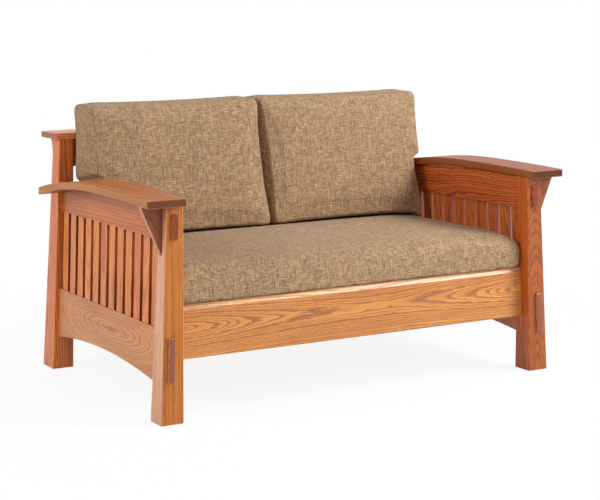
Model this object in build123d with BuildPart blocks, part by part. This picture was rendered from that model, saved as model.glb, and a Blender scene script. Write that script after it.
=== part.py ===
"""Two-seat mission settle in stained oak with loose cushions.

Millimetres. X runs to the sitter's left, Y to the back, Z up. The origin lies on the floor
under the middle of the settle. Each side is a flat frame of two tapered legs, two rails and
a row of slats, and leans in towards its top. The rails pass through the front legs as
through tenons. The right side is built and mirrored. Cushions lie loose on the deck.
"""

from build123d import *
import os
from math import atan, cos, radians, sin, sqrt, tan

os.makedirs("parts", exist_ok=True)

# Stance of the side frames
side_lean = 2.2
foot_half_span = 647.0
leg_foot_width = 71.0
leg_top_width = 52.0
leg_taper_height = 622.0
front_leg_foot_depth = 76.0
front_leg_top_depth = 48.0
leg_edge_round = 3.0

# Back posts
back_foot_setback = 858.5
back_foot_depth = 94.0
back_post_top_depth = 58.0
back_post_rake = 27.5
flare_height = 62.0
flare_reach = 28.0

# Bowed arms
arm_front_height = 647.0
arm_crown_setback = 380.0
arm_crown_rise = 8.0
arm_rear_drop = 41.0
arm_thickness = 23.0
arm_width = 121.0
arm_inner_reach = 24.6
arm_front_overhang = 25.0
arm_edge_chamfer = 2.0
arm_stub_length = 12.0
arm_stub_width = 28.0
arm_stub_depth = 30.0

# Corbels under the arms, on the outer faces of the front legs
corbel_reach = 66.0
corbel_drop = 142.0
corbel_thickness = 20.0
corbel_setback = 23.5
corbel_nose = 4.0

# Side rails and their tenons
side_rail_thickness = 24.0
side_rail_inset = 26.0
lower_rail_bottom = 108.0
lower_rail_height = 160.0
lower_rail_arch = 28.0
lower_tenon_shoulder = 17.0
upper_rail_height = 102.0
upper_tenon_shoulder = 9.0
upper_tenon_height = 69.0
side_tenon_thickness = 20.0
tenon_show = 8.0
tenon_chamfer = 2.0
blind_tenon_length = 22.0

# Side slats
side_slat_count = 12
side_slat_width = 44.0
side_slat_thickness = 14.0
side_slat_shift = 3.0
slat_housing_depth = 12.0

# Seat rails
deck_height = 334.0
front_rail_height = 158.0
front_rail_setback = 38.0
front_rail_thickness = 24.0
front_rail_bevel_height = 15.0
front_rail_bevel_depth = 11.0
rear_rail_height = 110.0
rear_rail_inset = 21.0
rear_rail_thickness = 25.0
rail_tenon_length = 17.0
rail_tenon_shoulder = 14.0
rail_tenon_thickness = 13.0

# Back frame
cap_top_height = 777.0
cap_thickness = 20.0
cap_end_overhang = 18.0
cap_depth = 132.0
cap_front_overhang = 12.0
cap_edge_round = 3.0
top_rail_height = 92.0
back_slat_count = 9
back_slat_width = 64.0
back_slat_thickness = 14.0

# Deck that carries the seat cushion
cleat_depth = 26.0
cleat_height = 26.0
cleat_end_space = 30.0
deck_slat_count = 6
deck_slat_width = 104.0
deck_slat_thickness = 18.0
deck_slat_end_space = 1.0

# Seat cushion
cushion_space = 0.4
seat_cushion_arm_space = 1.0
seat_cushion_front_setback = 32.0
seat_edge_height = 91.0
seat_edge_round = 24.0
seat_crown = 27.0
seat_corner_round = 19.0
seat_side_draw = 4.0

# Back cushions
back_cushion_arm_space = 2.5
back_cushion_top_height = 872.0
back_cushion_bottom_depth = 241.0
back_cushion_lean = 12.5
back_edge_round = 24.0
back_crown = 16.0
back_corner_round = 22.0
back_side_draw = 5.0
back_cushion_parting = 2.0

# Fits
joint_space = 0.15
overrun = 10.0

# Shares that shape the cushions: how deep a section lies, and how far it is drawn in as a
# share of the edge round, or for the crown how much smaller the whole section is
edge_shares = ((0.0, 0.34), (0.08, 0.1), (0.24, 0.0), (0.66, 0.0), (0.84, 0.2), (0.96, 0.56))
crown_shares = ((0.24, 0.08), (0.7, 0.24), (1.0, 0.54))
wedge_shares = ((0.0, 0.34), (0.08, 0.0), (0.86, 0.0), (0.95, 0.16), (1.0, 0.5))

lean = radians(side_lean)
leg_side_slope = (leg_foot_width - leg_top_width) / (2 * leg_taper_height)
rail_lean = atan(tan(lean) + leg_side_slope)
post_height = cap_top_height - cap_thickness
arm_crown_height = arm_front_height + arm_crown_rise
arm_rear_height = arm_front_height - arm_rear_drop
lower_rail_top = lower_rail_bottom + lower_rail_height
upper_rail_bottom = arm_front_height - arm_thickness - upper_rail_height
front_rail_bottom = deck_height - front_rail_height
rear_rail_bottom = deck_height - rear_rail_height
leg_front_y = (arm_front_overhang - back_foot_setback - back_foot_depth) / 2
leg_foot_rear_y = leg_front_y + front_leg_foot_depth
back_foot_front_y = leg_front_y + back_foot_setback
back_foot_rear_y = back_foot_front_y + back_foot_depth
post_top_front_y = back_foot_front_y - back_post_rake
cap_front_y = post_top_front_y - cap_front_overhang

# Middle plane of the right side rails, parallel to the outer faces of the legs: x along Y,
# y up the lean, normal outwards
side_plane = Plane(
    origin=(foot_half_span + leg_foot_width / 2 - side_rail_inset, 0, 0),
    x_dir=(0, 1, 0),
    z_dir=(cos(rail_lean), 0, sin(rail_lean)),
)


def leg_middle(z):
    """Distance of a leg's middle plane from the centre plane at height z."""
    return foot_half_span - z * tan(lean)


def leg_half_width(z):
    """Half the width of a leg, which tapers from foot to top."""
    return leg_foot_width / 2 - leg_side_slope * z


def leg_inner(z):
    return leg_middle(z) - leg_half_width(z)


def leg_outer(z):
    return leg_middle(z) + leg_half_width(z)


def leg_rear(z):
    """Rear face of the front leg, which comes forward towards the top."""
    return leg_foot_rear_y - (front_leg_foot_depth - front_leg_top_depth) * z / leg_taper_height


def post_front(z):
    """Front face of the back post, which comes forward towards the top."""
    return back_foot_front_y - back_post_rake * z / post_height


def up_the_lean(z):
    """Length along the leaning side rails that reaches height z."""
    return z / cos(rail_lean)


arm_inner_half_span = leg_middle(arm_front_height) - arm_inner_reach
cap_half_length = leg_outer(post_height) + cap_end_overhang
slat_middle_z = (lower_rail_top + upper_rail_bottom) / 2
slat_row_front_y = leg_rear(slat_middle_z)
slat_row_rear_y = post_front(slat_middle_z)
side_slat_pitch = (slat_row_rear_y - slat_row_front_y + side_slat_width) / (side_slat_count + 1)
first_slat_y = slat_row_front_y + side_slat_pitch - side_slat_width / 2
side_slat_places = [first_slat_y + slat * side_slat_pitch for slat in range(side_slat_count)]


def block(x_from, x_to, y_from, y_to, z_from, z_to):
    """Upright box between the given limits."""
    with BuildPart() as solid:
        with Locations(((x_from + x_to) / 2, (y_from + y_to) / 2, (z_from + z_to) / 2)):
            Box(x_to - x_from, y_to - y_from, z_to - z_from)
    return solid.part


def leaning_block(y_from, y_to, z_from, z_to, thickness, shift=0):
    """Box that leans with the side rails, shifted outwards from their middle plane."""
    with BuildPart() as solid:
        with BuildSketch(side_plane.offset(shift - thickness / 2)):
            with Locations(((y_from + y_to) / 2, up_the_lean(z_from + z_to) / 2)):
                Rectangle(y_to - y_from, up_the_lean(z_to - z_from))
        extrude(amount=thickness)
    return solid.part


def mirrored(part):
    """The same piece on the other side of the settle."""
    with BuildPart() as solid:
        mirror(part, about=Plane.YZ)
    return solid.part


def save(part, name):
    part.label = name
    export_step(part, f"parts/{name}.step")


def save_pair(part, name):
    """Save a right-hand piece and its mirrored twin."""
    save(part, f"{name}_right")
    save(mirrored(part), f"{name}_left")


# Bow of the arm: a flat arc up to the crown and a tighter one down to the back post
arm_front_y = leg_front_y - arm_front_overhang
arm_rear_y = post_front(arm_rear_height) - joint_space
arm_crown_y = leg_front_y + arm_crown_setback
arm_rear_fall = arm_crown_height - arm_rear_height


def arc_radius(run, fall):
    """Radius of an arc that starts level and falls by the given height over the run."""
    return (run**2 + fall**2) / (2 * fall)


front_bow_radius = arc_radius(arm_crown_y - arm_front_y, arm_crown_rise)
rear_bow_radius = arc_radius(arm_rear_y - arm_crown_y, arm_rear_fall)


def bow_height(y, depth):
    """Height at y of the line that runs the given depth below the top of the arm."""
    radius = front_bow_radius if y < arm_crown_y else rear_bow_radius
    return arm_crown_height - radius + sqrt((radius - depth) ** 2 - (y - arm_crown_y) ** 2)


def bow_line(y_from, y_to, depth):
    """Arcs along the arm from front to rear, the given depth below its top."""
    for start, end in ((y_from, arm_crown_y), (arm_crown_y, y_to)):
        middle = (start + end) / 2
        ThreePointArc(
            (start, bow_height(start, depth)),
            (middle, bow_height(middle, depth)),
            (end, bow_height(end, depth)),
        )


arm_lower_rear_y = post_front(arm_rear_height - arm_thickness) - joint_space

# Everything above the underside of the arms, taken off what stands below them
with BuildPart() as above_underside:
    with BuildSketch(Plane.YZ):
        with BuildLine():
            space_depth = arm_thickness + joint_space
            space_front_y = arm_front_y - overrun
            space_top = arm_crown_height + overrun
            bow_line(space_front_y, back_foot_front_y, space_depth)
            Polyline(
                (back_foot_front_y, bow_height(back_foot_front_y, space_depth)),
                (back_foot_front_y, space_top),
                (space_front_y, space_top),
                (space_front_y, bow_height(space_front_y, space_depth)),
            )
        make_face()
    extrude(amount=2 * foot_half_span)

# Everything ahead of the rear faces of the front legs, taken off the side rails
with BuildPart() as ahead_of_shoulder:
    with BuildSketch(Plane.YZ):
        with BuildLine():
            Polyline(
                (leg_front_y, 0),
                (leg_rear(0), 0),
                (leg_rear(arm_crown_height), arm_crown_height),
                (leg_front_y, arm_crown_height),
                close=True,
            )
        make_face()
    extrude(amount=2 * foot_half_span)

# Tenons of the side rails, and the mortises that they fit
lower_tenon_bottom = lower_rail_bottom + lower_tenon_shoulder
lower_tenon_top = lower_rail_top - lower_tenon_shoulder
upper_tenon_bottom = upper_rail_bottom + upper_tenon_shoulder
upper_tenon_top = upper_tenon_bottom + upper_tenon_height
rear_upper_tenon_top = bow_height(arm_rear_y, arm_thickness) - upper_tenon_shoulder
mortise_thickness = side_tenon_thickness + 2 * joint_space


def front_mortise(z_from, z_to):
    """Mortise right through the front leg."""
    return leaning_block(
        leg_front_y - overrun,
        leg_foot_rear_y + overrun,
        z_from - joint_space,
        z_to + joint_space,
        mortise_thickness,
    )


def rear_mortise(z_from, z_to):
    """Blind mortise in the front face of the back post."""
    return leaning_block(
        post_front(z_to) - overrun,
        post_front(z_to) + blind_tenon_length + joint_space,
        z_from - joint_space,
        z_to + joint_space,
        mortise_thickness,
    )


def side_tenons(z_from, z_to, rear_z_to):
    """Through tenon at the front and blind tenon at the rear of a side rail."""
    front_end = leg_front_y - tenon_show
    front = leaning_block(front_end, leg_foot_rear_y + overrun, z_from, z_to, side_tenon_thickness)
    rear_end = post_front(rear_z_to) + blind_tenon_length
    rear = leaning_block(rear_end - blind_tenon_length - overrun, rear_end, z_from, rear_z_to, side_tenon_thickness)
    return front, rear


# Stub tenon that holds the arm on the front leg
stub_middle_x = leg_middle(arm_front_height)
stub_middle_y = (leg_front_y + leg_rear(arm_front_height)) / 2
stub_top = bow_height(leg_front_y, arm_thickness) + arm_stub_length


def arm_stub(space):
    """Stub on top of the front leg, grown by the given space for its mortise."""
    return block(
        stub_middle_x - arm_stub_width / 2 - space,
        stub_middle_x + arm_stub_width / 2 + space,
        stub_middle_y - arm_stub_depth / 2 - space,
        stub_middle_y + arm_stub_depth / 2 + space,
        upper_rail_bottom,
        stub_top + space,
    )


def cross_tenon(y_middle, z_bottom, z_top, space):
    """Blind tenon of a cross rail in the inner face of the right leg or post."""
    return block(
        leg_inner(z_bottom) - overrun,
        leg_inner(z_top) + rail_tenon_length + space,
        y_middle - rail_tenon_thickness / 2 - space,
        y_middle + rail_tenon_thickness / 2 + space,
        z_bottom + rail_tenon_shoulder - space,
        z_top - rail_tenon_shoulder + space,
    )


front_rail_y = leg_front_y + front_rail_setback
front_rail_middle_y = front_rail_y + front_rail_thickness / 2
rear_rail_y = post_top_front_y + rear_rail_inset
rear_rail_middle_y = rear_rail_y + rear_rail_thickness / 2
top_rail_bottom = post_height - top_rail_height

# Front leg: its front view crossed with its side view
with BuildPart() as front_leg:
    with BuildSketch(Plane.XZ.offset(-leg_front_y)):
        with BuildLine():
            Polyline(
                (leg_inner(0), 0),
                (leg_outer(0), 0),
                (leg_outer(arm_front_height), arm_front_height),
                (leg_inner(arm_front_height), arm_front_height),
                close=True,
            )
        make_face()
    extrude(amount=-front_leg_foot_depth)
    with BuildSketch(Plane.YZ):
        with BuildLine():
            Polyline(
                (leg_front_y, 0),
                (leg_rear(0), 0),
                (leg_rear(arm_front_height), arm_front_height),
                (leg_front_y, arm_front_height),
                close=True,
            )
        make_face()
    extrude(amount=2 * foot_half_span, mode=Mode.INTERSECT)
    long_edges = front_leg.edges().filter_by(lambda edge: edge.length > leg_taper_height / 2)
    fillet(long_edges, radius=leg_edge_round)
    add(above_underside.part, mode=Mode.SUBTRACT)
    add(arm_stub(0))
    add(front_mortise(lower_tenon_bottom, lower_tenon_top), mode=Mode.SUBTRACT)
    add(front_mortise(upper_tenon_bottom, upper_tenon_top), mode=Mode.SUBTRACT)
    add(cross_tenon(front_rail_middle_y, front_rail_bottom, deck_height, joint_space), mode=Mode.SUBTRACT)
save_pair(front_leg.part, "front_leg")

# Back post: the front view of the leg crossed with the side view of the post
with BuildPart() as back_post:
    with BuildSketch(Plane.XZ.offset(-post_top_front_y)):
        with BuildLine():
            Polyline(
                (leg_inner(0), 0),
                (leg_outer(0), 0),
                (leg_outer(post_height), post_height),
                (leg_inner(post_height), post_height),
                close=True,
            )
        make_face()
    extrude(amount=post_top_front_y - back_foot_rear_y)
    with BuildSketch(Plane.YZ):
        with BuildLine():
            rear_fall = back_foot_rear_y - post_top_front_y - back_post_top_depth
            flare_start_z = post_height - flare_height
            flare_start = (back_foot_rear_y - rear_fall * flare_start_z / post_height, flare_start_z)
            flare_end = (post_top_front_y + back_post_top_depth + flare_reach, post_height)
            Line((back_foot_front_y, 0), (back_foot_rear_y, 0))
            Line((back_foot_rear_y, 0), flare_start)
            TangentArc(flare_start, flare_end, tangent=(-rear_fall, post_height))
            Line(flare_end, (post_top_front_y, post_height))
            Line((post_top_front_y, post_height), (back_foot_front_y, 0))
        make_face()
    extrude(amount=2 * foot_half_span, mode=Mode.INTERSECT)
    upright_edges = back_post.edges().filter_by(lambda edge: edge.length > leg_taper_height / 2)
    fillet(upright_edges, radius=leg_edge_round)
    add(rear_mortise(lower_tenon_bottom, lower_tenon_top), mode=Mode.SUBTRACT)
    add(rear_mortise(upper_tenon_bottom, rear_upper_tenon_top), mode=Mode.SUBTRACT)
    add(cross_tenon(rear_rail_middle_y, rear_rail_bottom, deck_height, joint_space), mode=Mode.SUBTRACT)
    add(cross_tenon(rear_rail_middle_y, top_rail_bottom, post_height, joint_space), mode=Mode.SUBTRACT)
save_pair(back_post.part, "back_post")

# Mortises for the side slats in both side rails
slat_seats = []
for slat_y in side_slat_places:
    slat_seats.append(
        leaning_block(
            slat_y - side_slat_width / 2 - joint_space,
            slat_y + side_slat_width / 2 + joint_space,
            lower_rail_top - slat_housing_depth - joint_space,
            upper_rail_bottom + slat_housing_depth + joint_space,
            side_slat_thickness + 2 * joint_space,
            side_slat_shift,
        )
    )

# Lower side rail: arched below, tenons at both ends
lower_front_tenon, lower_rear_tenon = side_tenons(lower_tenon_bottom, lower_tenon_top, lower_tenon_top)
with BuildPart() as lower_side_rail:
    with BuildSketch(side_plane.offset(-side_rail_thickness / 2)):
        with BuildLine():
            lower_front = (leg_rear(lower_rail_bottom), up_the_lean(lower_rail_bottom))
            lower_rear = (post_front(lower_rail_bottom) - joint_space, up_the_lean(lower_rail_bottom))
            arch_middle = (
                (lower_front[0] + lower_rear[0]) / 2,
                up_the_lean(lower_rail_bottom + lower_rail_arch),
            )
            front_corner = (leg_front_y + overrun, up_the_lean(lower_rail_bottom))
            upper_front = (front_corner[0], up_the_lean(lower_rail_top))
            upper_rear = (post_front(lower_rail_top) - joint_space, up_the_lean(lower_rail_top))
            ThreePointArc(lower_rear, arch_middle, lower_front)
            Polyline(lower_front, front_corner, upper_front, upper_rear, lower_rear)
        make_face()
    extrude(amount=side_rail_thickness)
    add(ahead_of_shoulder.part, mode=Mode.SUBTRACT)
    add(lower_front_tenon)
    add(lower_rear_tenon)
    tenon_end = lower_side_rail.faces().sort_by(Axis.Y)[0]
    chamfer(tenon_end.edges(), length=tenon_chamfer)
    add(slat_seats, mode=Mode.SUBTRACT)
save_pair(lower_side_rail.part, "lower_side_rail")

# Upper side rail: straight below, fitted to the bow of the arm above
upper_front_tenon, upper_rear_tenon = side_tenons(upper_tenon_bottom, upper_tenon_top, rear_upper_tenon_top)
with BuildPart() as upper_side_rail:
    with BuildSketch(side_plane.offset(-side_rail_thickness / 2)):
        with BuildLine():
            Polyline(
                (leg_front_y + overrun, up_the_lean(upper_rail_bottom)),
                (post_front(upper_rail_bottom) - joint_space, up_the_lean(upper_rail_bottom)),
                (post_front(arm_front_height) - joint_space, up_the_lean(arm_front_height)),
                (leg_front_y + overrun, up_the_lean(arm_front_height)),
                close=True,
            )
        make_face()
    extrude(amount=side_rail_thickness)
    add(ahead_of_shoulder.part, mode=Mode.SUBTRACT)
    add(above_underside.part, mode=Mode.SUBTRACT)
    add(upper_front_tenon)
    add(upper_rear_tenon)
    tenon_end = upper_side_rail.faces().sort_by(Axis.Y)[0]
    chamfer(tenon_end.edges(), length=tenon_chamfer)
    add(slat_seats, mode=Mode.SUBTRACT)
save_pair(upper_side_rail.part, "upper_side_rail")

# Side slats, housed in both rails
for slat, slat_y in enumerate(side_slat_places):
    side_slat = leaning_block(
        slat_y - side_slat_width / 2,
        slat_y + side_slat_width / 2,
        lower_rail_top - slat_housing_depth,
        upper_rail_bottom + slat_housing_depth,
        side_slat_thickness,
        side_slat_shift,
    )
    save_pair(side_slat, f"side_slat_{slat + 1:02d}")

# Arm: a bowed board whose rear end meets the face of the back post
with BuildPart() as arm:
    with BuildSketch(Plane.YZ.offset(arm_inner_half_span)):
        with BuildLine():
            bow_line(arm_front_y, arm_rear_y, 0)
            bow_line(arm_front_y, arm_lower_rear_y, arm_thickness)
            Line(
                (arm_rear_y, bow_height(arm_rear_y, 0)),
                (arm_lower_rear_y, bow_height(arm_lower_rear_y, arm_thickness)),
            )
            Line(
                (arm_front_y, bow_height(arm_front_y, 0)),
                (arm_front_y, bow_height(arm_front_y, arm_thickness)),
            )
        make_face()
    extrude(amount=arm_width)
    crown_lines = arm.edges().filter_by(Axis.X).group_by(Axis.Y)
    outer_edges = arm.edges() - crown_lines[1]
    chamfer(outer_edges, length=arm_edge_chamfer)
    add(arm_stub(joint_space), mode=Mode.SUBTRACT)
save_pair(arm.part, "arm")

# Corbel: a slim straight bracket between the outer face of the front leg and the arm
corbel_front_y = leg_front_y + corbel_setback
corbel_top = bow_height(corbel_front_y, arm_thickness)
corbel_tip = corbel_top - corbel_drop
with BuildPart() as corbel:
    with BuildSketch(Plane.XZ.offset(-corbel_front_y)):
        with BuildLine():
            nose_x = leg_outer(corbel_top) + corbel_reach
            Polyline(
                (leg_outer(corbel_tip), corbel_tip),
                (nose_x, corbel_top - corbel_nose),
                (nose_x, corbel_top + overrun),
                (leg_outer(corbel_top + overrun), corbel_top + overrun),
                close=True,
            )
        make_face()
    extrude(amount=-corbel_thickness)
    add(above_underside.part, mode=Mode.SUBTRACT)
save_pair(corbel.part, "corbel")


def cross_rail(y_front, thickness, z_bottom, z_top):
    """Board between the inner faces of the legs, whose lean its ends follow."""
    with BuildPart() as board:
        with BuildSketch(Plane.XZ.offset(-y_front)):
            with BuildLine():
                Polyline(
                    (-leg_inner(z_bottom), z_bottom),
                    (leg_inner(z_bottom), z_bottom),
                    (leg_inner(z_top), z_top),
                    (-leg_inner(z_top), z_top),
                    close=True,
                )
            make_face()
        extrude(amount=-thickness)
    return board.part


# Front seat rail, bevelled along the top of its face
front_board = cross_rail(front_rail_y, front_rail_thickness, front_rail_bottom, deck_height)
front_tenon = cross_tenon(front_rail_middle_y, front_rail_bottom, deck_height, 0)
with BuildPart() as front_seat_rail:
    add(front_board)
    top_front_edge = front_seat_rail.faces().sort_by(Axis.Y)[0].edges().sort_by(Axis.Z)[-1]
    chamfer(
        top_front_edge,
        length=front_rail_bevel_height,
        length2=front_rail_bevel_depth,
        reference=front_seat_rail.faces().sort_by(Axis.Y)[0],
    )
    add(front_tenon)
    add(mirrored(front_tenon))
save(front_seat_rail.part, "front_seat_rail")

# Back slats stand in the rear seat rail and in the top rail
back_slat_span = 2 * leg_inner(post_height)
back_slat_pitch = (back_slat_span + back_slat_width) / (back_slat_count + 1)
back_slat_places = [(slat - (back_slat_count - 1) / 2) * back_slat_pitch for slat in range(back_slat_count)]


def back_slat(x, space):
    """Upright back slat, grown by the given space for its mortises."""
    return block(
        x - back_slat_width / 2 - space,
        x + back_slat_width / 2 + space,
        rear_rail_middle_y - back_slat_thickness / 2 - space,
        rear_rail_middle_y + back_slat_thickness / 2 + space,
        deck_height - slat_housing_depth - space,
        top_rail_bottom + slat_housing_depth + space,
    )


back_slat_seats = [back_slat(x, joint_space) for x in back_slat_places]

# Rear seat rail
rear_board = cross_rail(rear_rail_y, rear_rail_thickness, rear_rail_bottom, deck_height)
rear_tenon = cross_tenon(rear_rail_middle_y, rear_rail_bottom, deck_height, 0)
with BuildPart() as rear_seat_rail:
    add(rear_board)
    add(rear_tenon)
    add(mirrored(rear_tenon))
    add(back_slat_seats, mode=Mode.SUBTRACT)
save(rear_seat_rail.part, "rear_seat_rail")

# Top rail of the back, under the cap
top_board = cross_rail(rear_rail_y, rear_rail_thickness, top_rail_bottom, post_height)
top_tenon = cross_tenon(rear_rail_middle_y, top_rail_bottom, post_height, 0)
with BuildPart() as back_top_rail:
    add(top_board)
    add(top_tenon)
    add(mirrored(top_tenon))
    add(back_slat_seats, mode=Mode.SUBTRACT)
save(back_top_rail.part, "back_top_rail")

for slat, slat_x in enumerate(back_slat_places):
    save(back_slat(slat_x, 0), f"back_slat_{slat + 1:02d}")

# Cap along the top of the back
cap_board = block(
    -cap_half_length, cap_half_length, cap_front_y, cap_front_y + cap_depth, post_height, cap_top_height
)
with BuildPart() as back_cap:
    add(cap_board)
    fillet(back_cap.edges(), radius=cap_edge_round)
save(back_cap.part, "back_cap")

# Deck: two cleats carry the slats
cleat_top = deck_height - deck_slat_thickness
cleat_half_length = leg_inner(deck_height) - cleat_end_space
front_cleat_y = front_rail_y + front_rail_thickness
rear_cleat_y = rear_rail_y - cleat_depth
deck_slat_pitch = (2 * cleat_half_length - deck_slat_width) / (deck_slat_count - 1)
deck_slat_places = [(slat - (deck_slat_count - 1) / 2) * deck_slat_pitch for slat in range(deck_slat_count)]

for name, cleat_y in (("front_cleat", front_cleat_y), ("rear_cleat", rear_cleat_y)):
    cleat = block(
        -cleat_half_length,
        cleat_half_length,
        cleat_y,
        cleat_y + cleat_depth,
        cleat_top - cleat_height,
        cleat_top,
    )
    save(cleat, name)

for slat, slat_x in enumerate(deck_slat_places):
    board = block(
        slat_x - deck_slat_width / 2,
        slat_x + deck_slat_width / 2,
        front_cleat_y + deck_slat_end_space,
        rear_rail_y - deck_slat_end_space,
        cleat_top,
        deck_height,
    )
    save(board, f"deck_slat_{slat + 1}")


def pad_outline(half_width, half_height, corner, draw):
    """Closed outline with round corners, its sides drawn in between them."""
    inset = corner * (1 - sqrt(2) / 2)
    for across, up in ((1, 1), (1, -1), (-1, -1), (-1, 1)):
        on_level = ((half_width - corner) * across, half_height * up)
        on_side = (half_width * across, (half_height - corner) * up)
        turn = ((half_width - inset) * across, (half_height - inset) * up)
        ThreePointArc(on_level, turn, on_side)
    for side in (1, -1):
        level = half_height * side
        ThreePointArc(
            (corner - half_width, level),
            (0, level - draw * side),
            (half_width - corner, level),
        )
        edge = half_width * side
        ThreePointArc(
            (edge, corner - half_height),
            (edge - draw * side, 0),
            (edge, half_height - corner),
        )


# Seat cushion: one long boxed pad with a crown, on the deck and the front rail
seat_front_y = leg_front_y + seat_cushion_front_setback
seat_cushion_half_width = arm_inner_half_span - seat_cushion_arm_space
seat_rear_y = cap_front_y - cushion_space
seat_half_depth = (seat_rear_y - seat_front_y) / 2
seat_bottom = deck_height + cushion_space
seat_levels = [(seat_edge_height * rise, seat_edge_round * inset, 1) for rise, inset in edge_shares]
seat_levels += [(seat_edge_height + seat_crown * rise, 0, 1 - shrink) for rise, shrink in crown_shares]
with BuildPart() as seat_cushion:
    for rise, inset, size in seat_levels:
        seat_plane = Plane((0, (seat_front_y + seat_rear_y) / 2, seat_bottom + rise))
        with BuildSketch(seat_plane):
            with BuildLine():
                pad_outline(
                    seat_cushion_half_width * size - inset,
                    seat_half_depth * size - inset,
                    seat_corner_round * size,
                    seat_side_draw * size,
                )
            make_face()
    loft(ruled=True)
save(seat_cushion.part, "seat_cushion")

# Back cushions: wedges with an upright rear face and a leaning, crowned front
back_rear_y = cap_front_y - cushion_space
back_cushion_width = arm_inner_half_span - back_cushion_arm_space - back_cushion_parting / 2
back_bottom = seat_bottom + seat_edge_height + seat_crown + cushion_space
back_stations = [
    (back_cushion_bottom_depth * depth, back_cushion_lean * depth, back_edge_round * inset, 1)
    for depth, inset in wedge_shares
]
back_stations += [
    (back_cushion_bottom_depth + back_crown * depth, back_cushion_lean, 0, 1 - shrink)
    for depth, shrink in crown_shares
]
back_middle_x = (back_cushion_parting + back_cushion_width) / 2
with BuildPart() as back_cushion:
    for depth, tilt, inset, size in back_stations:
        tilt_angle = radians(tilt)
        height = (back_cushion_top_height - back_bottom) / cos(tilt_angle)
        station = Plane(
            origin=(
                back_middle_x,
                back_rear_y - depth + height / 2 * sin(tilt_angle),
                back_bottom + height / 2 * cos(tilt_angle),
            ),
            x_dir=(1, 0, 0),
            z_dir=(0, -cos(tilt_angle), sin(tilt_angle)),
        )
        with BuildSketch(station):
            with BuildLine():
                pad_outline(
                    back_cushion_width / 2 * size - inset,
                    height / 2 * size - inset,
                    back_corner_round * size,
                    back_side_draw * size,
                )
            make_face()
    loft(ruled=True)
save_pair(back_cushion.part, "back_cushion")
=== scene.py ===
"""Looks of the mission settle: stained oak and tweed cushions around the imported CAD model.

Lengths are in metres. Left is -X and right is +X, as seen from the front, which is -Y.
"""

import math

import bpy
import numpy as np
from mathutils import Matrix, Vector
from mathutils.bvhtree import BVHTree


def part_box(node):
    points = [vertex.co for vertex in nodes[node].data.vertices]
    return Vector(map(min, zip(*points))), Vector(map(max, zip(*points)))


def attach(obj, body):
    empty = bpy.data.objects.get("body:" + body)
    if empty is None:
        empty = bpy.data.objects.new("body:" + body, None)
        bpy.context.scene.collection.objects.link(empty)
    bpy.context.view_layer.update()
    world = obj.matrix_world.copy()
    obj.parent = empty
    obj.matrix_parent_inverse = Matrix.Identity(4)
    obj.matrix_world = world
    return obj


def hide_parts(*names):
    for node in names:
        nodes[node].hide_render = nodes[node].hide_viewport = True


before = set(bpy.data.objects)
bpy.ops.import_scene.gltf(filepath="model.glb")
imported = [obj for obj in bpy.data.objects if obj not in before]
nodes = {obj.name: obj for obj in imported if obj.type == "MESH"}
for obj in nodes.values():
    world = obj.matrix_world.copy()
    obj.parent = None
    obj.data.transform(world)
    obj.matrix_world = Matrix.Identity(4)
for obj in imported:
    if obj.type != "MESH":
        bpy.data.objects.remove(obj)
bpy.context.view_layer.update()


rng = np.random.default_rng(7)

# Camera

# Where the photograph was taken from, as the fit of camera and sizes found it
AZIMUTH = math.radians(29.089)
PITCH = math.radians(8.75)
ROLL = math.radians(-0.784)
CAMERA_AT = Vector((-2.4931, -4.5395, 1.1842))
FOCAL_PX = 1615.0
FRAME_PX = 600
SENSOR_MM = 36

forward = Vector((math.sin(AZIMUTH) * math.cos(PITCH), math.cos(AZIMUTH) * math.cos(PITCH), -math.sin(PITCH)))
right = Vector((math.cos(AZIMUTH), -math.sin(AZIMUTH), 0))
up = right.cross(forward)
rolled_right = right * math.cos(ROLL) + up * math.sin(ROLL)
rolled_up = up * math.cos(ROLL) - right * math.sin(ROLL)
camera_data = bpy.data.cameras.new("camera")
camera_data.sensor_width = SENSOR_MM
camera_data.lens = FOCAL_PX * SENSOR_MM / FRAME_PX
camera = bpy.data.objects.new("camera", camera_data)
bpy.context.scene.collection.objects.link(camera)
camera.matrix_world = Matrix.Translation(CAMERA_AT) @ Matrix(
    (
        (rolled_right.x, rolled_up.x, -forward.x),
        (rolled_right.y, rolled_up.y, -forward.y),
        (rolled_right.z, rolled_up.z, -forward.z),
    )
).to_4x4()
bpy.context.scene.camera = camera


# Node helpers

# Sockets A and B and the output of a Mix node, by the kind of data that it mixes
MIX_SOCKETS = {"FLOAT": (2, 3, 0), "VECTOR": (4, 5, 1), "RGBA": (6, 7, 2)}


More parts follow.
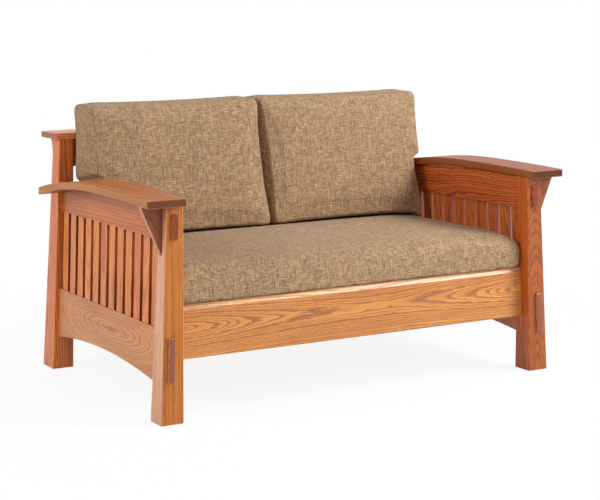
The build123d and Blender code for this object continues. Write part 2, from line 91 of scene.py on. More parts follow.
class Tree:
    """Short hand for building a node tree."""

    def __init__(self, tree):
        self.tree = tree

    def node(self, kind, **settings):
        made = self.tree.nodes.new(kind)
        inputs = settings.pop("inputs", {})
        for key, value in settings.items():
            setattr(made, key, value)
        for key, value in inputs.items():
            self.feed(made.inputs[key], value)
        return made

    def feed(self, socket, value):
        """Links a socket, or sets its value."""
        if isinstance(value, bpy.types.NodeSocket):
            self.tree.links.new(value, socket)
        else:
            socket.default_value = value

    def maths(self, operation, a, b=None, clamp=False):
        made = self.node("ShaderNodeMath", operation=operation, use_clamp=clamp)
        self.feed(made.inputs[0], a)
        if b is not None:
            self.feed(made.inputs[1], b)
        return made.outputs[0]

    def vector(self, operation, a, b=None):
        """Vector maths. A length and a dot product come out as a value, the rest as a vector."""
        made = self.node("ShaderNodeVectorMath", operation=operation)
        self.feed(made.inputs[0], a)
        if b is not None:
            self.feed(made.inputs["Scale" if operation == "SCALE" else 1], b)
        return made.outputs[1 if operation in ("LENGTH", "DOT_PRODUCT") else 0]

    def noise(self, vector, scale=1.0, detail=2.0, roughness=0.5, colour=False):
        """Noise as one value, or as a colour, which is three."""
        made = self.node("ShaderNodeTexNoise", inputs={
            "Vector": vector, "Scale": scale, "Detail": detail, "Roughness": roughness})
        return made.outputs[1 if colour else 0]

    def ramp(self, value, stops):
        """Value that runs straight from stop to stop, each a place and the level there."""
        made = self.node("ShaderNodeValToRGB")
        self.feed(made.inputs[0], value)
        elements = made.color_ramp.elements
        while len(elements) < len(stops):
            elements.new(0.5)
        for element, (place, level) in zip(elements, stops):
            element.position = place
            element.color = (level, level, level, 1)
        return made.outputs[0]

    def mix(self, factor, a, b, kind="RGBA", blend="MIX"):
        made = self.node("ShaderNodeMix", data_type=kind, blend_type=blend)
        first, second, result = MIX_SOCKETS[kind]
        self.feed(made.inputs[0], factor)
        self.feed(made.inputs[first], a)
        self.feed(made.inputs[second], b)
        return made.outputs[result]

    def combine(self, x=0.0, y=0.0, z=0.0):
        return self.node("ShaderNodeCombineXYZ", inputs={0: x, 1: y, 2: z}).outputs[0]

    def part(self, vector, axis):
        return self.node("ShaderNodeSeparateXYZ", inputs={0: vector}).outputs["XYZ".index(axis)]

    def stretch(self, vector, scale):
        return self.vector("MULTIPLY", vector, Vector(scale))

    def surface(self, shader, kind="Material"):
        """Makes a shader the surface of the material, or of the world."""
        self.feed(self.node("ShaderNodeOutput" + kind).inputs["Surface"], shader.outputs[0])

    def seen(self):
        """1 where a ray from the camera looks, also by way of a reflection, and 0 where light is gathered."""
        path = self.node("ShaderNodeLightPath").outputs
        mirrored = self.maths("MAXIMUM", path["Is Glossy Ray"], path["Is Transmission Ray"])
        return self.maths("MAXIMUM", path["Is Camera Ray"], mirrored)


def linear(r, g, b):
    """Shader colour of an sRGB colour given in 0 to 255."""
    def one(v):
        v /= 255
        return v / 12.92 if v <= 0.04045 else ((v + 0.055) / 1.055) ** 2.4
    return (one(r), one(g), one(b), 1)


def new_material(name):
    material = bpy.data.materials.new(name)
    material.use_nodes = True
    material.node_tree.nodes.clear()
    return material, Tree(material.node_tree)


# Oak

OAK_INPUTS = (("Board", "Vector"), ("Pith", "Vector"), ("Run", "Vector"), ("Pitch", "Float"),
              ("Seed", "Float"))
OAK_OUTPUTS = ("Line", "Pore", "Tone")


def oak_group():
    """Plain-sawn oak in board coordinates, metres: x along the grain, y out of the face."""
    group = bpy.data.node_groups.new("oak_grain", "ShaderNodeTree")
    for name, kind in OAK_INPUTS:
        group.interface.new_socket(name, in_out="INPUT", socket_type="NodeSocket" + kind)
    for name in OAK_OUTPUTS:
        group.interface.new_socket(name, in_out="OUTPUT", socket_type="NodeSocketFloat")
    t = Tree(group)
    given = t.node("NodeGroupInput").outputs
    board, pith, run, pitch, seed = (given[name] for name, kind in OAK_INPUTS)
    seeded = t.combine(seed, seed, seed)

    def grained(scale, **settings):
        """Noise over the board, closer together the larger the scale."""
        return t.noise(t.vector("ADD", t.stretch(board, scale), seeded), **settings)

    def strayed(scale):
        """Noise in three directions, each around zero."""
        return t.vector("SUBTRACT", grained(scale, detail=1, colour=True), (0.5, 0.5, 0.5))

    # the heart of the tree runs off behind the face, which draws the cathedrals
    along = t.part(board, "X")
    taper, bow, wander = (t.part(run, axis) for axis in "XYZ")
    drift = t.vector("ADD", t.vector("SCALE", strayed((2.6, 2, 2)), wander),
                     t.vector("SCALE", strayed((11, 14, 14)), t.maths("MULTIPLY", wander, 0.4)))
    deeper = t.maths("ADD", t.maths("MULTIPLY", along, taper),
                     t.maths("MULTIPLY", t.maths("MULTIPLY", along, along), bow))
    centred = t.vector("ADD", t.vector("ADD", t.vector("ADD", board, pith), drift), t.combine(y=deeper))
    radius = t.vector("LENGTH", t.stretch(centred, (0, 1, 1)))
    rings = t.maths("DIVIDE", radius, pitch)
    # rings of uneven width whose edges are frayed by the pores
    uneven = t.noise(t.vector("ADD", t.combine(rings), seeded), scale=0.6, detail=0)
    rings = t.maths("ADD", rings, t.maths("MULTIPLY", uneven, 1.6))
    for scale, depth in (((16, 190, 190), 0.7), ((55, 700, 700), 0.5)):
        frayed = grained(scale, detail=2, roughness=0.6)
        rings = t.maths("ADD", rings, t.maths("MULTIPLY", frayed, depth))
    # each ring starts dark and fades
    share = t.maths("FRACT", rings)
    line = t.ramp(share, ((0.0, 0.2), (0.05, 1.0), (0.2, 0.85), (0.4, 0.22), (0.7, 0.03), (1.0, 0.0)))
    # open pores: short dashes, most in the dark of each ring
    dashes = t.ramp(grained((70, 1500, 1500), detail=1), ((0.53, 0.0), (0.63, 1.0)))
    pore = t.maths("MULTIPLY", dashes, t.maths("ADD", t.maths("MULTIPLY", line, 0.75), 0.25), clamp=True)
    # broad and narrow streaks of lighter and darker wood
    broad = grained((2.2, 26, 26), detail=3, roughness=0.55)
    narrow = grained((4, 210, 210), detail=2)
    tone = t.maths("ADD", t.maths("MULTIPLY", broad, 0.6), t.maths("MULTIPLY", narrow, 0.4))
    out = t.node("NodeGroupOutput")
    for name, value in zip(OAK_OUTPUTS, (line, pore, tone)):
        t.feed(out.inputs[name], value)
    return group


OAK = oak_group()
STAINED = dict(ground=(224, 146, 74), deep=(200, 118, 56), line=(146, 78, 46), pore=(102, 52, 30),
               end=(92, 46, 34))
RAW = dict(ground=(214, 178, 132), deep=(198, 160, 114), line=(168, 126, 86), pore=(120, 86, 56),
           end=(140, 104, 72))
EDGE_ROUND = 0.0018
GRAIN_RELIEF = 0.0004


def oak(name, grain, normal, middle, pith=(0.07, 0.0), run=(0.0, 0.0, 0.01), pitch=0.006, stain=STAINED,
        tint=(1, 1, 1), side_sheen_and_shade=(1, 1, 1), end=(1, 1, 1), seed=None, depth=0.8, gloss=1.0):
    """Material of one board. pith is how far behind the face and to its side the heart lies, and run how
    the heart runs off: slope, bow and wander. pitch is the width of a ring. On the narrow faces a multiplier
    given per board paints sheen where it lightens them and shade where it darkens them. The ends take the
    stain differently, by end. depth is how dark the grain is."""
    material, t = new_material(name)
    grain = Vector(grain).normalized()
    normal = Vector(normal)
    normal = (normal - grain * normal.dot(grain)).normalized()
    turn = Matrix((grain, normal, grain.cross(normal)))
    mapping = t.node("ShaderNodeMapping", vector_type="POINT")
    t.feed(mapping.inputs["Vector"], t.node("ShaderNodeTexCoord").outputs["Object"])
    mapping.inputs["Rotation"].default_value = turn.to_euler("XYZ")
    mapping.inputs["Location"].default_value = -(turn @ Vector(middle))
    group = t.node("ShaderNodeGroup", node_tree=OAK)
    t.feed(group.inputs["Board"], mapping.outputs[0])
    group.inputs["Pith"].default_value = (0, pith[0], pith[1])
    group.inputs["Run"].default_value = run
    group.inputs["Pitch"].default_value = pitch
    group.inputs["Seed"].default_value = float(rng.uniform(-40, 40)) if seed is None else seed
    line, pore, tone = (group.outputs[name] for name in OAK_OUTPUTS)
    shade = {key: tuple(a * b for a, b in zip(linear(*value), (*tint, 1))) for key, value in stain.items()}
    colour = t.mix(t.ramp(tone, ((0.36, 0.0), (0.64, 1.0))), shade["ground"], shade["deep"])
    colour = t.mix(t.maths("MULTIPLY", line, depth), colour, shade["line"])
    colour = t.mix(t.maths("MULTIPLY", pore, 0.6), colour, shade["pore"])
    # narrow faces get painted sheen where their multiplier lightens them and painted shade where it darkens
    # them; then ends
    outward = t.node("ShaderNodeTexCoord").outputs["Normal"]
    on_face = t.maths("ABSOLUTE", t.vector("DOT_PRODUCT", outward, normal))
    painted_sides = t.mix(1.0, colour, (*side_sheen_and_shade, 1), blend="MULTIPLY")
    colour = t.mix(t.ramp(on_face, ((0.84, 1.0), (0.93, 0.0))), colour, painted_sides)
    at_end = t.maths("ABSOLUTE", t.vector("DOT_PRODUCT", outward, grain))
    end_colour = tuple(a * b for a, b in zip(shade["end"], (*end, 1)))
    colour = t.mix(t.ramp(at_end, ((0.7, 0.0), (0.9, 0.8))), colour, end_colour)
    # edges are softened, and lightened along them as painted highlight and as wear
    edge = t.node("ShaderNodeBevel", samples=6, inputs={"Radius": EDGE_ROUND})
    edge_highlight_and_wear = t.vector("DOT_PRODUCT", edge.outputs[0], t.node("ShaderNodeNewGeometry").outputs["Normal"])
    colour = t.mix(t.ramp(edge_highlight_and_wear, ((0.75, 0.2), (0.97, 0.0))), colour, shade["ground"])
    relief = t.maths("ADD", t.maths("MULTIPLY", line, -0.5), t.maths("MULTIPLY", pore, -0.5))
    bump = t.node("ShaderNodeBump", inputs={"Strength": 0.35, "Distance": GRAIN_RELIEF, "Height": relief})
    t.feed(bump.inputs["Normal"], edge.outputs[0])
    raw = stain is RAW
    shader = t.node("ShaderNodeBsdfPrincipled")
    t.feed(shader.inputs["Base Color"], colour)
    t.feed(shader.inputs["Roughness"], t.maths("ADD", t.maths("MULTIPLY", line, 0.1), 0.62 if raw else 0.42))
    t.feed(shader.inputs["Normal"], bump.outputs[0])
    if not raw:
        shader.inputs["Specular IOR Level"].default_value = 0.35 * gloss
        shader.inputs["Coat Weight"].default_value = 0.25 * gloss
        shader.inputs["Coat Roughness"].default_value = 0.3
    t.surface(shader)
    return material


def dress(node, material):
    nodes[node].data.materials.clear()
    nodes[node].data.materials.append(material)


# Tints of the slats, front to back: some boards are pinker, some more golden
SLAT_TINTS = ((1.0, 0.86, 0.72), (1.02, 0.86, 0.7), (1.0, 0.76, 0.74), (1.08, 0.94, 0.6),
              (1.02, 0.86, 0.64), (1.04, 0.88, 0.62), (0.98, 0.78, 0.7), (1.06, 0.92, 0.62),
              (1.14, 1.0, 0.58), (1.06, 0.92, 0.64), (0.96, 0.78, 0.7), (1.02, 0.86, 0.62))
# Boards whose grain or tint the photograph shows to be their own; some tints and side multipliers here also
# paint shade and sheen, as noted at each
GRAIN = {
    # its lighter, pinker narrow faces are a painted highlight on the bevel along its top
    "front_seat_rail": dict(pith=(0.034, 0.012), run=(0.006, -0.1, 0.01), pitch=0.0048, seed=3.1, depth=0.85,
                            tint=(1.0, 1.1, 0.95), side_sheen_and_shade=(1.25, 1.7, 3.3), gloss=1.3),
    # its pinker tint is painted sheen on its outer face
    "lower_side_rail_left": dict(pith=(0.012, -0.02), run=(0.02, 0.4, 0.008), pitch=0.0062, seed=11.3,
                                 depth=0.5, tint=(0.96, 1.03, 1.3)),
    "lower_side_rail_right": dict(pith=(0.02, -0.01), run=(0.02, 0.3, 0.01), pitch=0.0055, seed=21.9,
                                  depth=0.6),
    # its darker, more orange tint is painted shade under the overhang of the arm
    "upper_side_rail_left": dict(pith=(0.09, 0.09), run=(0.01, 0.02, 0.008), pitch=0.006, seed=5.2,
                                 depth=0.35, tint=(0.8, 0.57, 0.16), end=(1.9, 1.9, 3.6)),
    # its darker, redder tint is partly its own tone and partly painted shade on its inner face
    "upper_side_rail_right": dict(pith=(0.055, -0.07), run=(0.11, 0.0, 0.035), pitch=0.0085, seed=8.4,
                                  depth=1.1, tint=(0.92, 0.56, 0.42), end=(1.6, 1.6, 1.8)),
    # its much pinker narrow faces are painted sheen on its outer face
    "front_leg_left": dict(pith=(0.08, 0.05), run=(0.01, 0.0, 0.006), pitch=0.0085, seed=2.6, depth=0.4,
                           tint=(0.82, 0.69, 0.28), side_sheen_and_shade=(1.33, 2.2, 12.0)),
    # its lighter narrow faces are painted light on its inner face
    "front_leg_right": dict(pith=(0.02, 0.004), run=(0.12, 0.03, 0.006), pitch=0.0046, seed=9.7, depth=0.75,
                            tint=(0.59, 0.4, 0.17), side_sheen_and_shade=(1.45, 1.25, 1.3)),
    "back_post_left": dict(tint=(1.15, 0.86, 0.66)),
    "back_post_right": dict(tint=(0.95, 0.72, 0.55)),
    "back_cap": dict(tint=(1.38, 1.36, 1.45)),
}
# How far each side leans in towards its top
LEAN = math.radians(2.2)
ALONG_X, ALONG_Y, ALONG_Z = (1, 0, 0), (0, 1, 0), (0, 0, 1)
TO_FRONT = (0, -1, 0)

for node in sorted(nodes):
    low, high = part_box(node)
    middle = (low + high) / 2
    side = 1 if middle.x > 0 else -1
    up_lean = (-side * math.sin(LEAN), 0, math.cos(LEAN))
    outward = (side * math.cos(LEAN), 0, math.sin(LEAN))
    # these draws are made for every node, in this order
    across = float(rng.uniform(-0.03, 0.03))
    look = dict(pith=(float(rng.uniform(0.05, 0.1)), across),
                run=(float(rng.uniform(-0.05, 0.05)), 0.0, 0.01))
    light = float(rng.uniform(0.93, 1.05))
    look["tint"] = (light, light * 0.98, light)
    look.update(GRAIN.get(node, {}))
    if node.startswith(("seat_cushion", "back_cushion")):
        continue
    if node.startswith("front_leg"):
        dress(node, oak(node, up_lean, TO_FRONT, middle, **look))
    elif node.startswith("back_post"):
        dress(node, oak(node, up_lean, (-side, 0, 0), middle, pitch=0.0052, **look))
    elif node.startswith("side_slat"):
        red, green, blue = SLAT_TINTS[int(node.split("_")[2]) - 1]
        # the right side's slats, seen from inside, are tinted darker as painted shade, and the narrow sides
        # of all slats are darkened as painted shade in the gaps
        look["tint"] = (red * 1.06, green, blue * 0.75) if side < 0 else (red * 0.9, green * 0.76, blue * 0.7)
        dress(node, oak(node, up_lean, outward, middle, pitch=0.005, side_sheen_and_shade=(0.45, 0.3, 0.25),
                        depth=0.45 if side < 0 else 0.7, **look))
    elif node.startswith("back_slat"):
        dress(node, oak(node, ALONG_Z, TO_FRONT, middle, pitch=0.005, **look))
    elif "side_rail" in node:
        look.setdefault("end", (2.2, 2.2, 2.4))
        # their darker narrow faces are painted shade
        dress(node, oak(node, ALONG_Y, outward, middle, side_sheen_and_shade=(0.75, 0.65, 0.6), **look))
    elif node.startswith("arm"):
        # their lighter, pinker narrow faces are painted sheen
        dress(node, oak(node, ALONG_Y, ALONG_Z, middle, pitch=0.0055, pith=(0.12, 0.05), run=(0.01, 0, 0.008),
                        tint=(0.64, 0.52, 0.4) if side < 0 else (0.44, 0.29, 0.22), side_sheen_and_shade=(1.15, 1.45, 2.2),
                        depth=0.3, gloss=0.5))
    elif node.startswith("corbel"):
        # the dark tint is painted shadow on the front face, and the lighter narrow faces are painted light on
        # its outer edge
        dress(node, oak(node, (side * 0.4, 0, 0.9), TO_FRONT, middle, pitch=0.0045, tint=(0.4, 0.29, 0.24),
                        side_sheen_and_shade=(2.1, 2.9, 4.8), depth=0.5, run=(0.05, 0, 0.01)))
    elif node.startswith("deck_slat"):
        dress(node, oak(node, ALONG_Y, ALONG_Z, middle, stain=RAW, **look))
    elif node.endswith("cleat"):
        dress(node, oak(node, ALONG_X, TO_FRONT, middle, stain=RAW, **look))
    elif node == "back_cap":
        dress(node, oak(node, ALONG_X, ALONG_Z, middle, pitch=0.0055, **look))
    else:
        dress(node, oak(node, ALONG_X, TO_FRONT, middle, **look))

# Tweed

# Threads in a metre of cloth, how often the tone of a thread changes in a metre of it, and what keeps
# the changes of one thread apart from those of the next
THREADS = 500.0
SLUB_CHANGES = 42.0
THREAD_STEP = 7.31
# Where the noise along a thread makes a slub, and its colour: dark ones, then light ones
SLUBS = ((((0.37, 1.0), (0.45, 0.0)), (122, 94, 71)), (((0.57, 0.0), (0.66, 1.0)), (202, 170, 133)))
# How much of the slubs shows in the two kinds of patch, for the threads across and those that rise
SHOWN = (((0.4, 1.0), (0.6, 0.7)), ((0.4, 0.6), (0.6, 0.9)))
CLOTH_RELIEF = 0.0006
# The panels of a cushion meet where the x of their normal has this size
SEAM_FACING = 0.72


def tweed(name, rise, run):
    """Tan tweed with light and dark slubs both ways. rise and run turn z and y into the up of the cloth."""
    material, t = new_material(name)
    coords = t.node("ShaderNodeTexCoord").outputs
    place, facing = coords["Object"], coords["Normal"]
    x, y, z = (t.part(place, axis) for axis in "XYZ")
    up = t.maths("ADD", t.maths("MULTIPLY", z, rise), t.maths("MULTIPLY", y, run))
    sideways = t.maths("ABSOLUTE", t.part(facing, "X"))
    on_flank = t.maths("GREATER_THAN", sideways, SEAM_FACING)
    cloth = t.mix(on_flank, t.combine(x, up), t.combine(y, z, 1.7), kind="VECTOR")

    # plain weave: each thread has its own tone, with runs of dark and light slub
    patch = t.noise(t.vector("ADD", t.stretch(cloth, (20, 24, 1)), Vector((3, 9, 1))), detail=2)
    field = t.noise(t.vector("ADD", t.stretch(cloth, (9, 11, 1)), Vector((13, 2, 1))), detail=3)
    ground = t.mix(t.ramp(field, ((0.35, 0.0), (0.65, 1.0))), linear(178, 146, 112), linear(168, 141, 105))
    yarns, rounds, numbers, slubs = [], [], [], []
    for axis, other, shift in (("Y", "X", 0.0), ("X", "Y", 31.0)):
        count = t.maths("MULTIPLY", t.part(cloth, axis), THREADS)
        number = t.maths("FLOOR", count)
        numbers.append(number)
        along = t.maths("MULTIPLY", t.part(cloth, other), SLUB_CHANGES)
        slubs.append(t.noise(t.combine(along, t.maths("MULTIPLY", number, THREAD_STEP), shift), detail=1))
        own = t.node("ShaderNodeTexWhiteNoise", noise_dimensions="1D",
                     inputs={"W": t.maths("ADD", number, shift)}).outputs[0]
        yarns.append(t.mix(t.maths("MULTIPLY", own, 0.5), ground, linear(146, 116, 86)))
        # 0 in the middle of the thread and 1 at its edges
        halves = t.maths("MULTIPLY", t.maths("FRACT", count), 2.0)
        rounds.append(t.maths("ABSOLUTE", t.maths("SUBTRACT", halves, 1.0)))
    over = t.maths("MODULO", t.maths("ABSOLUTE", t.maths("ADD", *numbers)), 2.0)
    colour = t.mix(over, *yarns)
    edge_of = t.mix(over, *rounds, kind="FLOAT")
    # the edges of the threads are darkened as painted shade between them
    colour = t.mix(t.maths("MULTIPLY", t.maths("POWER", edge_of, 3.0), 0.4), colour, linear(100, 76, 56))
    for slub, share, bent in zip(slubs, SHOWN, rounds):
        body = t.maths("SUBTRACT", 1.0, t.maths("POWER", bent, 3.0))
        shown = t.maths("MULTIPLY", t.ramp(patch, share), body)
        for stops, tone in SLUBS:
            colour = t.mix(t.maths("MULTIPLY", t.ramp(slub, stops), shown), colour, linear(*tone))
    # sewn seams along the edges of the panels
    off_seam = t.maths("ABSOLUTE", t.maths("SUBTRACT", sideways, SEAM_FACING))
    seam = t.ramp(off_seam, ((0.02, 1.0), (0.06, 0.0)))
    colour = t.mix(t.maths("MULTIPLY", seam, 0.15), colour, linear(96, 72, 50))
    relief = t.maths("SUBTRACT", 1.0, t.maths("POWER", edge_of, 2.0))
    relief = t.maths("SUBTRACT", relief, t.maths("MULTIPLY", seam, 2.0))
    bump = t.node("ShaderNodeBump", inputs={"Strength": 0.4, "Distance": CLOTH_RELIEF, "Height": relief})
    shader = t.node("ShaderNodeBsdfPrincipled")
    t.feed(shader.inputs["Base Color"], colour)
    t.feed(shader.inputs["Normal"], bump.outputs[0])
    shader.inputs["Roughness"].default_value = 0.95
    shader.inputs["Specular IOR Level"].default_value = 0.2
    shader.inputs["Sheen Weight"].default_value = 0.1
    shader.inputs["Sheen Roughness"].default_value = 0.5
    t.surface(shader)
    return material


SEAT_TWEED = tweed("seat_tweed", 1.0, 1.0)
BACK_TWEED = tweed("back_tweed", 0.8, 1.0)

# Cushions

VOXEL = 0.006
# What a pad loses all round before the pressure fills it again
SHRINK = 0.001
PRESSURE = 4.0
CLOTH_FRAMES = 20
# Share of a point's way that the cloth decides. The rest is straight out.
LOOSE = 0.25
# Height over which the movement starts, from nothing at the foot of the pad
SEAT_FOOT, BACK_FOOT = 0.03, 0.14
# Furthest that the pressure moves a point
SEAT_TRAVEL, BACK_TRAVEL = 0.005, 0.0045
SEAM_WIDTH, SEAM_DEPTH = 0.16, 0.0012
# How far the edges of the back pads are filled out, and the lean of their faces
BACK_SQUARE = 0.004
BACK_LEAN = math.radians(12.5)
BACK_AXES = np.array([(1, 0, 0), (0, -math.cos(BACK_LEAN), math.sin(BACK_LEAN)),
                      (0, math.sin(BACK_LEAN), math.cos(BACK_LEAN))])
# 1 over the largest part of a normal, less 1: 0 on a face and this halfway round an edge
HALFWAY = 0.414


def read(mesh):
    place = np.zeros(len(mesh.vertices) * 3)
    mesh.vertices.foreach_get("co", place)
    return place.reshape(-1, 3)


def write(mesh, place):
    mesh.vertices.foreach_set("co", np.ascontiguousarray(place).ravel())
    mesh.update()


def outwards(mesh):
    normals = np.zeros(len(mesh.vertices) * 3)
    mesh.vertices.foreach_get("normal", normals)
    return normals.reshape(-1, 3)


def applied(pad, kind, **settings):
    """Adds a modifier and applies it."""
    step = pad.modifiers.new("step", kind)
    for key, value in settings.items():
        setattr(step, key, value)
    bpy.context.view_layer.objects.active = pad
    bpy.ops.object.modifier_apply(modifier=step.name)


def puffed(pad, cap, foot):
    """Blows the pad up with cloth pressure. No point moves further than the cap, the firm foam keeps
    the edges from drawing in, and the foot stays on what carries it."""
    start = read(pad.data)
    normals = outwards(pad.data)
    cloth = pad.modifiers.new("cloth", "CLOTH")
    cloth.settings.use_pressure = True
    cloth.settings.uniform_pressure_force = PRESSURE
    cloth.settings.effector_weights.gravity = 0
    cloth.settings.tension_stiffness = 15
    cloth.settings.compression_stiffness = 15
    cloth.settings.bending_stiffness = 2.0
    cloth.settings.quality = 3
    cloth.point_cache.frame_start = 1
    cloth.point_cache.frame_end = CLOTH_FRAMES
    for step in range(1, CLOTH_FRAMES + 1):
        bpy.context.scene.frame_set(step)
    blown = pad.evaluated_get(bpy.context.evaluated_depsgraph_get())
    end = read(blown.data)
    pad.modifiers.remove(cloth)
    bpy.context.scene.frame_set(1)
    way = end - start
    out = np.sum(way * normals, axis=1, keepdims=True)
    way = way * LOOSE + normals * np.maximum(out, 0) * (1 - LOOSE)
    way *= np.clip((start[:, 2:] - start[:, 2].min()) / foot, 0, 1)
    length = np.linalg.norm(way, axis=1, keepdims=True)
    write(pad.data, start + way * np.minimum(1, cap / np.maximum(length, 1e-9)))


def squared(mesh, reach):
    """Fills out the rounded edges of a back cushion, where its boxed panels meet."""
    normals = outwards(mesh)
    corner = np.clip(1 / np.abs(normals @ BACK_AXES.T).max(axis=1) - 1, 0, HALFWAY) / HALFWAY
    write(mesh, read(mesh) + normals * (reach * corner)[:, None])


def cushion(node, name, material, cap, foot, shape, limits, square=0.0):
    """Cushion from its CAD solid: remeshed a little smaller, shaped, then blown up by cloth pressure."""
    mesh = nodes[node].data.copy()
    mesh.name = name
    mesh.materials.clear()
    pad = bpy.data.objects.new(name, mesh)
    bpy.context.scene.collection.objects.link(pad)
    applied(pad, "REMESH", mode="VOXEL", voxel_size=VOXEL)
    applied(pad, "SMOOTH", factor=0.5, iterations=2)
    mesh = pad.data
    squared(mesh, square)
    write(mesh, shape(read(mesh)))
    write(mesh, read(mesh) - outwards(mesh) * SHRINK)
    puffed(pad, cap, foot)
    applied(pad, "SMOOTH", factor=0.5, iterations=1)
    # seams sink in where the side panels are sewn to the faces
    normals = outwards(mesh)
    seam = np.clip(1 - np.abs(np.abs(normals[:, :1]) - SEAM_FACING) / SEAM_WIDTH, 0, 1)
    write(mesh, limits(read(mesh) - normals * seam * SEAM_DEPTH))
    applied(pad, "SUBSURF", levels=1, render_levels=1)
    mesh = pad.data
    mesh.materials.append(material)
    for polygon in mesh.polygons:
        polygon.use_smooth = True
    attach(pad, node)
    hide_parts(node)
    return pad


# Above everything, where rays start
HIGH_UP = 2.0


def skin(thing):
    """Surface of an object, to cast rays at."""
    return BVHTree.FromObject(thing, bpy.context.evaluated_depsgraph_get())


def top_of(surface, x, y):
    """Where a surface is met from above, or None."""
    return surface.ray_cast(Vector((x, y, HIGH_UP)), Vector((0, 0, -1)))[0]


# Extent of the CAD cushions, and the top of the arms from front to back
seat_low, seat_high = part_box("seat_cushion")
back_low, back_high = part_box("back_cushion_right")
ARM_MIDDLE = 0.62
ARM_LINE = np.linspace(0.05, 0.37, 33)
ARM_SKIN = skin(nodes["arm_right"])
ARM_TOP = [top_of(ARM_SKIN, ARM_MIDDLE, y).z for y in ARM_LINE]
# The seat: wider by this factor, its front further out, starting this far before the middle and whole
# twice as far, and how far its sides may pass the CAD solid
SEAT_WIDER = 1.013
SEAT_FORWARD = 0.003
SEAT_FRONT = 0.2
SEAT_OVER = 0.003
# Its top is filled by half of what it lacks, inside these shares of its half width and half depth, and
# only above this height from the deck
SEAT_FULL = 0.5
SEAT_EDGE, EDGE_WIDE, EDGE_DEEP = 0.985, 0.06, 0.2
SEAT_TOP = 0.085
# The crown of the seat where it meets the back cushions. From this far before them, and over this
# length, it comes down to the height of the CAD solid.
CROWN = 0.009
CROWN_BEFORE, CROWN_ALONG = 0.02, 0.04
# How far each back cushion stands out over its arm, and what that changes by up to its top
RIGHT_SPREAD, LEFT_SPREAD = (0.024, 0.001), (0.016, -0.011)
# The spread starts this far above the arm and is whole this much higher. Then it changes from one
# height on, over a length of the side.
OVER_ARM, SPREAD_GROWS = 0.003, 0.015
CHANGE_FROM, CHANGE_OVER = 0.66, 0.2
# The sides may pass that by this much from this height on
SIDE_OVER, SIDE_OVER_FROM = 0.0015, 0.68
# Space between the pads, the part of a back pad above its foot that follows the seat, and how far
# the foot may come down
PAD_GAP = 0.0012
FOLLOWS = 0.09
DROOP = 0.02


def seat_shape(place):
    """The seat presses against its sides, so its corners are full."""
    place[:, 0] *= SEAT_WIDER
    front = np.clip((-SEAT_FRONT - place[:, 1]) / SEAT_FRONT, 0, 1)
    place[:, 1] -= SEAT_FORWARD * front
    # and its top stays high close to them
    half = (seat_high - seat_low) / 2
    across = np.abs(place[:, 0]) / half.x
    deep = np.abs(place[:, 1] - (seat_low.y + half.y)) / half.y
    wide_in = np.clip((SEAT_EDGE - across) / EDGE_WIDE, 0, 1)
    deep_in = np.clip((SEAT_EDGE - deep) / EDGE_DEEP, 0, 1)
    top = place[:, 2] > seat_low.z + SEAT_TOP
    place[:, 2] += top * (SEAT_FULL * wide_in * deep_in) * np.maximum(seat_high.z - place[:, 2], 0)
    return place


def seat_limits(place):
    """Keeps the seat on the deck, between its sides and, at the rear, under the back cushions."""
    x, y, z = place.T
    z = np.maximum(z, seat_low.z)
    under_backs = np.clip((y - back_low.y + CROWN_BEFORE) / CROWN_ALONG, 0, 1)
    z = np.where(under_backs > 0, np.minimum(z, seat_high.z + CROWN * (1 - under_backs)), z)
    y = np.minimum(y, seat_high.y)
    x = np.clip(x, seat_low.x - SEAT_OVER, seat_high.x + SEAT_OVER)
    return np.stack([x, y, z], axis=1)


def spread(place):
    """How far the outer side of each back cushion stands out over its arm."""
    x, y, z = place.T
    free = np.clip((z - np.interp(y, ARM_LINE, ARM_TOP) - OVER_ARM) / SPREAD_GROWS, 0, 1)
    rise = np.clip((z - CHANGE_FROM) / CHANGE_OVER, 0, 1)
    at_arm, change = (np.where(x > 0, *pair) for pair in zip(RIGHT_SPREAD, LEFT_SPREAD))
    return free * (at_arm + change * rise)


def back_shape(place):
    """Above the arms the cushions are wider than the seat, and lean a little to the right."""
    share = np.abs(place[:, 0]) / back_high.x
    place[:, 0] += np.sign(place[:, 0]) * share * spread(place)
    return place


def back_limits(place):
    """Keeps a back cushion on the seat, before the back and on its own side of the middle."""
    x, y, z = place.T
    z = settled(x, y, z)
    side = np.sign(x.mean())
    x = side * np.maximum(side * x, PAD_GAP)
    reach = back_high.x + spread(place) + SIDE_OVER * (z > SIDE_OVER_FROM)
    x = np.clip(x, -reach, reach)
    y = np.minimum(y, back_high.y)
    return np.stack([x, y, z], axis=1)


def settled(x, y, z):
    """Heights of a back cushion whose foot follows the crown of the seat."""
    seat = np.full(len(x), back_low.z)
    for i in np.nonzero(z < back_low.z + FOLLOWS)[0]:
        hit = top_of(SEAT_SKIN, x[i], y[i])
        if hit:
            seat[i] = hit.z
    lowest = np.clip(seat + PAD_GAP, back_low.z - DROOP, back_low.z)
    lowered = z - (back_low.z - lowest) * np.clip((back_low.z + FOLLOWS - z) / FOLLOWS, 0, 1)
    return np.maximum(lowered, seat + PAD_GAP)


SEAT_PAD = cushion("seat_cushion", "seat_pad", SEAT_TWEED, SEAT_TRAVEL, SEAT_FOOT,
                   seat_shape, seat_limits)
SEAT_SKIN = skin(SEAT_PAD)
for side in ("left", "right"):
    cushion("back_cushion_" + side, "back_pad_" + side, BACK_TWEED, BACK_TRAVEL, BACK_FOOT,
            back_shape, back_limits, square=BACK_SQUARE)

# Floor and light

WORLD_LIGHT = 0.27
FLOOR_REACH = 12
FLOOR_Z = -0.0005


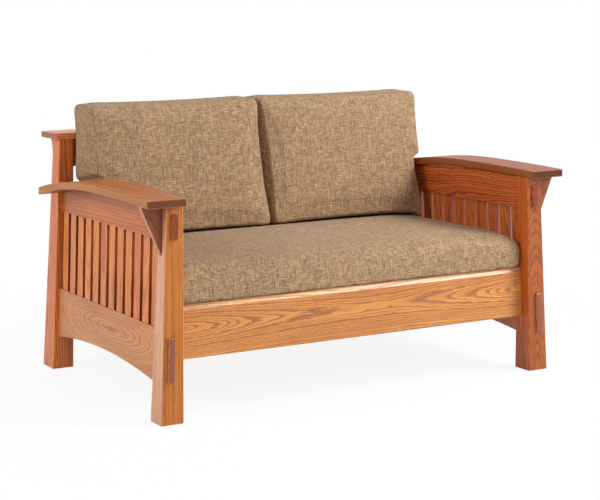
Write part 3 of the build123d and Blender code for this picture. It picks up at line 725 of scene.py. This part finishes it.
def stage():
    """White floor and world. The floor takes soft shadows near the settle and fades out from there."""
    mesh = bpy.data.meshes.new("floor")
    ends = ((-1, -1), (1, -1), (1, 1), (-1, 1))
    mesh.from_pydata([(x * FLOOR_REACH, y * FLOOR_REACH, FLOOR_Z) for x, y in ends], [], [(0, 1, 2, 3)])
    floor = bpy.data.objects.new("floor", mesh)
    bpy.context.scene.collection.objects.link(floor)
    material, t = new_material("floor")
    away = t.vector("LENGTH", t.node("ShaderNodeTexCoord").outputs["Object"])
    fade = t.ramp(t.maths("DIVIDE", away, 4.0), ((0.15, 0.9), (0.5, 1.0)))
    matt = t.node("ShaderNodeBsdfDiffuse", inputs={"Color": (0.9, 0.9, 0.9, 1)})
    glow = t.node("ShaderNodeEmission", inputs={"Color": (1, 1, 1, 1), "Strength": 1.0})
    blend = t.node("ShaderNodeMixShader", inputs={0: t.maths("MULTIPLY", fade, t.seen())})
    t.feed(blend.inputs[1], matt.outputs[0])
    t.feed(blend.inputs[2], glow.outputs[0])
    t.surface(blend)
    mesh.materials.append(material)
    world = bpy.data.worlds.new("studio")
    world.use_nodes = True
    world.node_tree.nodes.clear()
    t = Tree(world.node_tree)
    strength = t.maths("ADD", t.maths("MULTIPLY", t.seen(), 1 - WORLD_LIGHT), WORLD_LIGHT)
    t.surface(t.node("ShaderNodeBackground", inputs={"Color": (1, 1, 1, 1), "Strength": strength}), "World")
    bpy.context.scene.world = world


def softbox(name, at, towards, size, watts):
    data = bpy.data.lights.new(name, "AREA")
    data.shape = "RECTANGLE"
    data.size, data.size_y = size
    data.energy = watts
    lamp = bpy.data.objects.new(name, data)
    bpy.context.scene.collection.objects.link(lamp)
    lamp.location = at
    lamp.rotation_euler = (Vector(towards) - Vector(at)).to_track_quat("-Z", "Y").to_euler()


stage()
softbox("right", (3.1, -3.0, 2.15), (0, 0, 0.4), (1.8, 1.6), 72)
softbox("left", (-1.6, -4.2, 2.7), (0, 0, 0.4), (1.8, 1.6), 28)
softbox("side", (-3.9, 0.2, 2.3), (-0.7, 0, 0.4), (1.6, 1.6), 74)
softbox("top", (2.5, -1.9, 3.2), (0, 0, 0.3), (1.5, 1.3), 124)

bpy.context.scene.view_settings.view_transform = "Standard"
